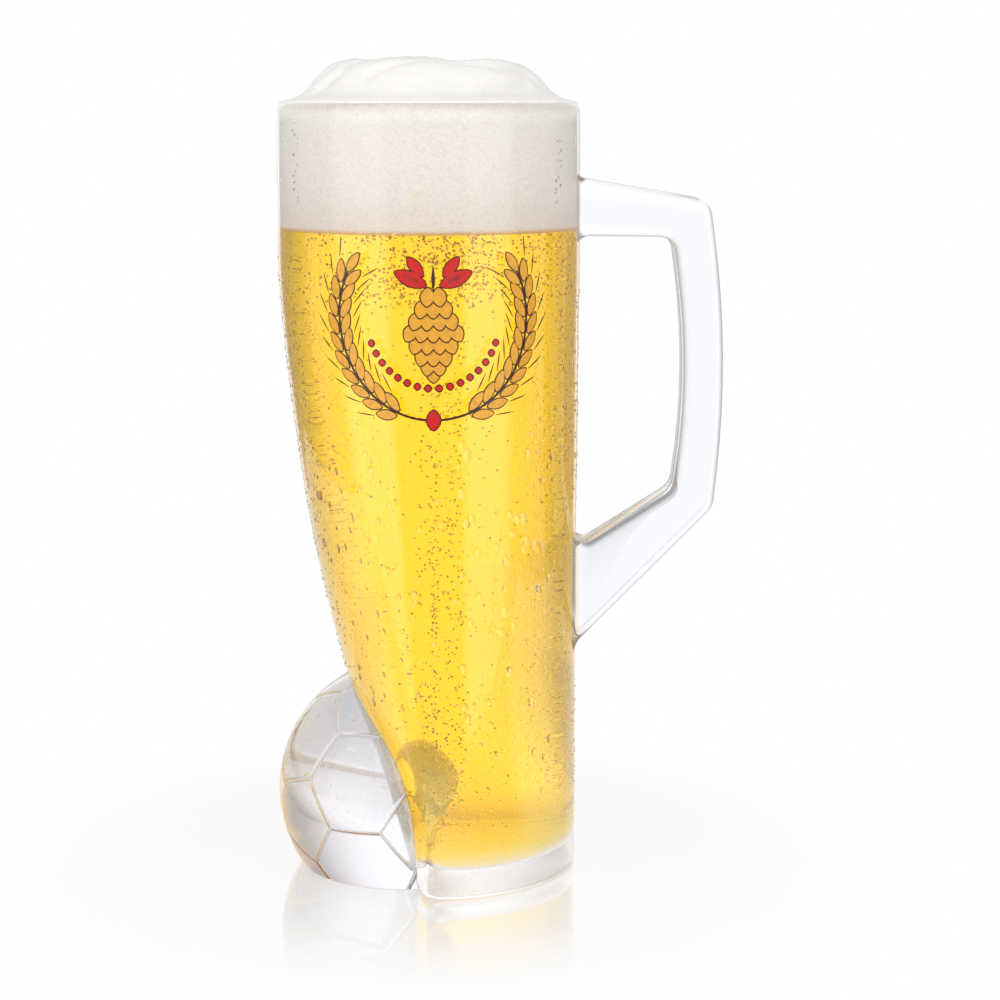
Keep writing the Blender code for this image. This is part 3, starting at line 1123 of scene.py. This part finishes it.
def stamp(shapes, colour, layer, u, v, length, width, turn):
    size = Matrix.Diagonal((length * mm, width * mm, ornament["thickness"], 1.0))
    lift = Matrix.Translation((u * mm, v * mm, layer * ornament["layer"]))
    shapes[colour].append(lift @ Matrix.Rotation(math.radians(turn), 4, "Z") @ size)


def outlined(shapes, colour, u, v, length, width, turn, layer=0):
    edge = 2 * ornament["outline"] / mm
    stamp(shapes, "dark", layer, u, v, length + edge, width + edge, turn)
    stamp(shapes, colour, layer + 1, u, v, length, width, turn)


def onWreath(side, reach, degrees):
    centreU, centreV = ornament["wreathCentre"]
    angle = math.radians(degrees)
    return side * (centreU + reach * math.cos(angle)), centreV + reach * math.sin(angle)


def drawEar(shapes, side):
    radius, grain, pairs = ornament["wreathRadius"], ornament["grain"], ornament["grainPairs"]
    start, end = ornament["stemStart"], ornament["earEnd"]
    for step in range(ornament["stemSteps"] + 1):
        angle = start + (end - start) * step / ornament["stemSteps"]
        stamp(shapes, "dark", 0, *onWreath(side, radius, angle), *ornament["stem"], side * (angle + 90))
    start = ornament["earStart"]
    for pair in range(pairs):
        angle = start + (end - start) * pair / (pairs - 1)
        for row in (1, -1):
            lean = -row * ornament["grainLean"]
            spot = onWreath(side, radius + row * ornament["grainReach"], angle)
            outlined(shapes, "gold", *spot, *grain, side * (angle + 90 + lean))
            tip = onWreath(side, radius + row * ornament["awnReach"], angle + ornament["awnLead"])
            turn = angle + 90 + ornament["awnTurn"] + ornament["awnLean"] * lean
            stamp(shapes, "dark", 0, *tip, *ornament["awn"], side * turn)
    end += ornament["tipLead"]
    outlined(shapes, "gold", *onWreath(side, radius, end), *grain, side * (end + 90))


def drawHop(shapes):
    length, width = ornament["scale"]
    rows = ornament["coneRows"]
    for row, (count, v) in enumerate(rows):
        layer = 2 * (len(rows) - row) - 2
        for place in range(count):
            u = (place - (count - 1) / 2) * width * ornament["scaleStep"]
            outlined(shapes, "gold", u, v, length, width, -90 + u * ornament["scaleFan"], layer=layer)
    for side in (-1, 1):
        for u, v, leafLength, leafWidth, turn in ornament["leaves"]:
            outlined(shapes, "red", side * u, v, leafLength, leafWidth, side * turn)
    stamp(shapes, "dark", 0, *ornament["stalk"])


def drawBeads(shapes):
    count = ornament["beadCount"]
    for bead in range(count):
        angle = ornament["beadStart"] + ornament["beadSweep"] * bead / (count - 1)
        outlined(shapes, "red", *onWreath(1, ornament["beadReach"], angle), *ornament["bead"])
    outlined(shapes, "red", *ornament["jewel"])


def makeOrnament():
    shapes = {"dark": [], "gold": [], "red": []}
    for side in (-1, 1):
        drawEar(shapes, side)
    drawHop(shapes)
    drawBeads(shapes)
    template = makeLeafTemplate()
    work = bmesh.new()
    for index, colour in enumerate(shapes):
        before = len(work.faces)
        addCopies(work, template, shapes[colour])
        work.faces.ensure_lookup_table()
        for face in work.faces[before:]:
            face.normal_update()
            face.material_index = index if face.normal.z > ornament["underside"] else len(shapes)
    bpy.data.meshes.remove(template)
    for vert in work.verts:
        turn = math.radians(ornament["turn"]) + vert.co.x / vessel["radius"]
        z = ornament["height"] + vert.co.y
        vert.co = surfacePoint(turn, z) + surfaceFrame(turn, z)[2] * (vert.co.z - ornament["sunk"])
    faceOutwards(work)
    enamels = [makeEnamel(name + "Enamel", *enamel) for name, enamel in ornament["enamels"].items()]
    newPiece("front_ornament", work, enamels, sharpDegrees=ornament["sharpDegrees"])


makeDrops()
makeOrnament()


# Stage: white glossy table, white surroundings, two tall soft boxes, a fill and an overhead box
stage = {
    "floorSide": 0.45,
    "floorFront": 0.16,
    "floorBack": 0.45,
    "floorDrop": 0.1 * mm,
    "tableColour": (0.9, 0.9, 0.9, 1.0),
    "shadowShare": 0.2,
    "shadowReach": (0.05, 0.14),
    # painted shadow for rays through glass: the floor is dimmer near the object and brighter beyond
    "throughLevel": (0.95, 1.5),
    "throughReach": (0.045, 0.09),
    "gloss": 0.36,
    "glossRoughness": 0.01,
    "glossReach": (0.04, 0.105),
    "ambient": 0.5,
    "backLight": 1.5,
    "flag": (0.12, 0.8, 0.88, 0.97),
    "floorFlag": (0.05, 0.6, 0.88, 0.97),
    "flagLevel": 0.34,
    "flagStart": (0.05, 0.08),
    "flatGuard": 1.0001,  # a hair over 1, which keeps straight up from dividing by zero
    "ceiling": 0.35,
    "ceilingReach": (0.35, 0.8),
    "frontReach": (-0.3, 0.5),
    "frontLevel": 0.15,
    "frontThrough": 0.85,
    "mirrorMiddle": (0.2, 0.3),
    "mirrorCentre": 0.55,
    "mirrorReach": (0.3, 0.52),
    "mirrorLevel": 0.22,
    "mirrorHorizon": (0.0, 0.06),
    "aim": (0.0, 0.0, 0.1),
    "overheadSize": (1.3, 1.3),
    "overheadPlace": (0.0, 0.1, 1.4),
    "overheadLight": 0.14,
    "boxTurn": (-52.0, 47.0),
    "boxDistance": 0.95,
    "boxWidth": (0.86, 0.72),
    "boxSteps": (1.0, 0.86, 0.72),
    "boxStepGap": 2.0 * mm,
    "boxHeight": 1.8,
    "boxLight": 1.2,
    "fillLight": 1.35,
    "fillSize": (1.2, 1.0),
    "fillPlace": (0.0, -0.84, 0.8),
}


def sideFlags(tree, across, reach):
    near = mapRange(tree, across, reach[0], reach[1], 1.0, stage["flagLevel"])
    far = mapRange(tree, across, reach[2], reach[3], stage["flagLevel"], 1.0)
    return addMath(tree, "MAXIMUM", near, far)


def makeTable():
    material = bpy.data.materials.new("whiteTable")
    material.use_nodes = True
    tree = material.node_tree
    tree.nodes.clear()
    end = addNode(tree, "ShaderNodeOutputMaterial")
    rays = addNode(tree, "ShaderNodeLightPath").outputs
    place = objectPlace(tree)
    away = addNode(tree, "ShaderNodeVectorMath", {"operation": "LENGTH"}, i0=place).outputs["Value"]
    across = addMath(tree, "DIVIDE", addMath(tree, "ABSOLUTE", splitPlace(tree, place)["X"]), away)
    # painted shade and shadow, seen only through glass: the floor is darker towards the sides, dimmer near
    # the object and brighter beyond
    isFlagged = mapRange(tree, away, *stage["flagStart"])
    flags = mixLevels(tree, isFlagged, 1.0, sideFlags(tree, across, stage["floorFlag"]))
    bright = mapRange(tree, away, *stage["throughReach"], *stage["throughLevel"])
    level = mixLevels(tree, rays["Is Transmission Ray"], 1.0, times(tree, bright, flags))
    glow = addNode(tree, "ShaderNodeEmission", Strength=level)
    matte = addNode(tree, "ShaderNodeBsdfDiffuse", Color=stage["tableColour"])
    inGlass = addMath(tree, "MAXIMUM", rays["Is Glossy Ray"], rays["Is Transmission Ray"])
    seen = addMath(tree, "MAXIMUM", rays["Is Camera Ray"], inGlass)
    share = mapRange(tree, away, *stage["shadowReach"], 1.0 - stage["shadowShare"], 1.0)
    lit = addNode(tree, "ShaderNodeMixShader", i0=times(tree, seen, share),
                  i1=matte.outputs[0], i2=glow.outputs[0])
    shine = addNode(tree, "ShaderNodeBsdfAnisotropic", Roughness=stage["glossRoughness"], Color=white)
    fade = mapRange(tree, away, *stage["glossReach"], stage["gloss"], 0.0)
    top = addNode(tree, "ShaderNodeMixShader", i0=times(tree, fade, rays["Is Camera Ray"]),
                  i1=lit.outputs[0], i2=shine.outputs[0])
    feed(tree, end, Surface=top.outputs[0])
    return material


def makeFloor():
    work = bmesh.new()
    deep = stage["floorFront"] + stage["floorBack"]
    centre = Matrix.Translation((0.0, stage["floorBack"] - deep / 2, -stage["floorDrop"]))
    size = Matrix.Diagonal((stage["floorSide"], deep / 2, 1.0, 1.0))
    bmesh.ops.create_grid(work, x_segments=1, y_segments=1, size=1.0, matrix=centre @ size)
    mesh = keepMesh("floor", work)
    mesh.materials.append(makeTable())
    floor = newObject("floor", mesh)


def makeWorld():
    world = bpy.data.worlds.new("studio")
    bpy.context.scene.world = world
    world.use_nodes = True
    tree = world.node_tree
    rays = addNode(tree, "ShaderNodeLightPath").outputs
    way = splitPlace(tree, addNode(tree, "ShaderNodeTexCoord").outputs["Generated"])
    steep = times(tree, way["Z"], way["Z"])
    flat = addMath(tree, "SQRT", addMath(tree, "SUBTRACT", stage["flatGuard"], steep))
    across = addMath(tree, "DIVIDE", addMath(tree, "ABSOLUTE", way["X"]), flat)
    above = mapRange(tree, way["Z"], *stage["ceilingReach"], 1.0, stage["ceiling"])
    through = mapRange(tree, way["Y"], *stage["frontReach"], stage["frontThrough"], stage["backLight"])
    around = times(tree, sideFlags(tree, across, stage["flag"]), above, through)
    front = mapRange(tree, way["Y"], *stage["frontReach"], stage["frontLevel"], 1.0)
    middle = mapRange(tree, across, *stage["mirrorMiddle"], stage["mirrorCentre"], stage["backLight"])
    beside = mapRange(tree, across, *stage["mirrorReach"], stage["backLight"], stage["mirrorLevel"])
    dark = times(tree, addMath(tree, "MINIMUM", middle, beside), front)
    upward = mapRange(tree, way["Z"], *stage["mirrorHorizon"])
    lifted = mixLevels(tree, upward, dark, addMath(tree, "MAXIMUM", dark, 1.0))
    mirrored = times(tree, lifted, above)
    bounced = addMath(tree, "SUBTRACT", rays["Is Glossy Ray"], rays["Is Transmission Ray"], clamp=True)
    seen = mixLevels(tree, bounced, around, mirrored)
    isDiffuse = addMath(tree, "GREATER_THAN", rays["Diffuse Depth"], 0.5)
    level = mixLevels(tree, isDiffuse, seen, stage["ambient"])
    shown = mixLevels(tree, rays["Is Camera Ray"], level, 1.0)
    feed(tree, tree.nodes["Background"], Strength=shown, Color=white)


def addSoftBox(name, place, aim, width, height, light):
    data = bpy.data.lights.new(name, "AREA")
    data.shape = "RECTANGLE"
    data.size = width
    data.size_y = height
    data.energy = light * math.pi * width * height
    lamp = newObject(name, data)
    lamp.location = place
    lamp.rotation_euler = (place - aim).to_track_quat("Z", "Y").to_euler()
    lamp.visible_camera = False


def makeSoftBoxes():
    aim = Vector(stage["aim"])
    light = stage["boxLight"] / len(stage["boxSteps"])
    for turn, width in zip(stage["boxTurn"], stage["boxWidth"]):
        angle = math.radians(turn)
        out = Vector((math.sin(angle), -math.cos(angle), 0.0))
        for layer, step in enumerate(stage["boxSteps"]):  # steps in width give the box soft edges
            place = aim + out * (stage["boxDistance"] + layer * stage["boxStepGap"])
            addSoftBox("softBox", place, aim, width * step, stage["boxHeight"], light)
    addSoftBox("highFill", Vector(stage["fillPlace"]), aim, *stage["fillSize"], stage["fillLight"])
    overhead = Vector(stage["overheadPlace"])
    addSoftBox("overheadBox", overhead, aim, *stage["overheadSize"], stage["overheadLight"])


makeFloor()
makeWorld()
makeSoftBoxes()
scene = bpy.context.scene
scene.view_settings.view_transform = "Standard"
scene.cycles.blur_glossy = 0.0
scene.cycles.max_bounces = 32
scene.cycles.diffuse_bounces = 12
scene.cycles.transmission_bounces = 32
scene.cycles.glossy_bounces = 12
print("stage set")
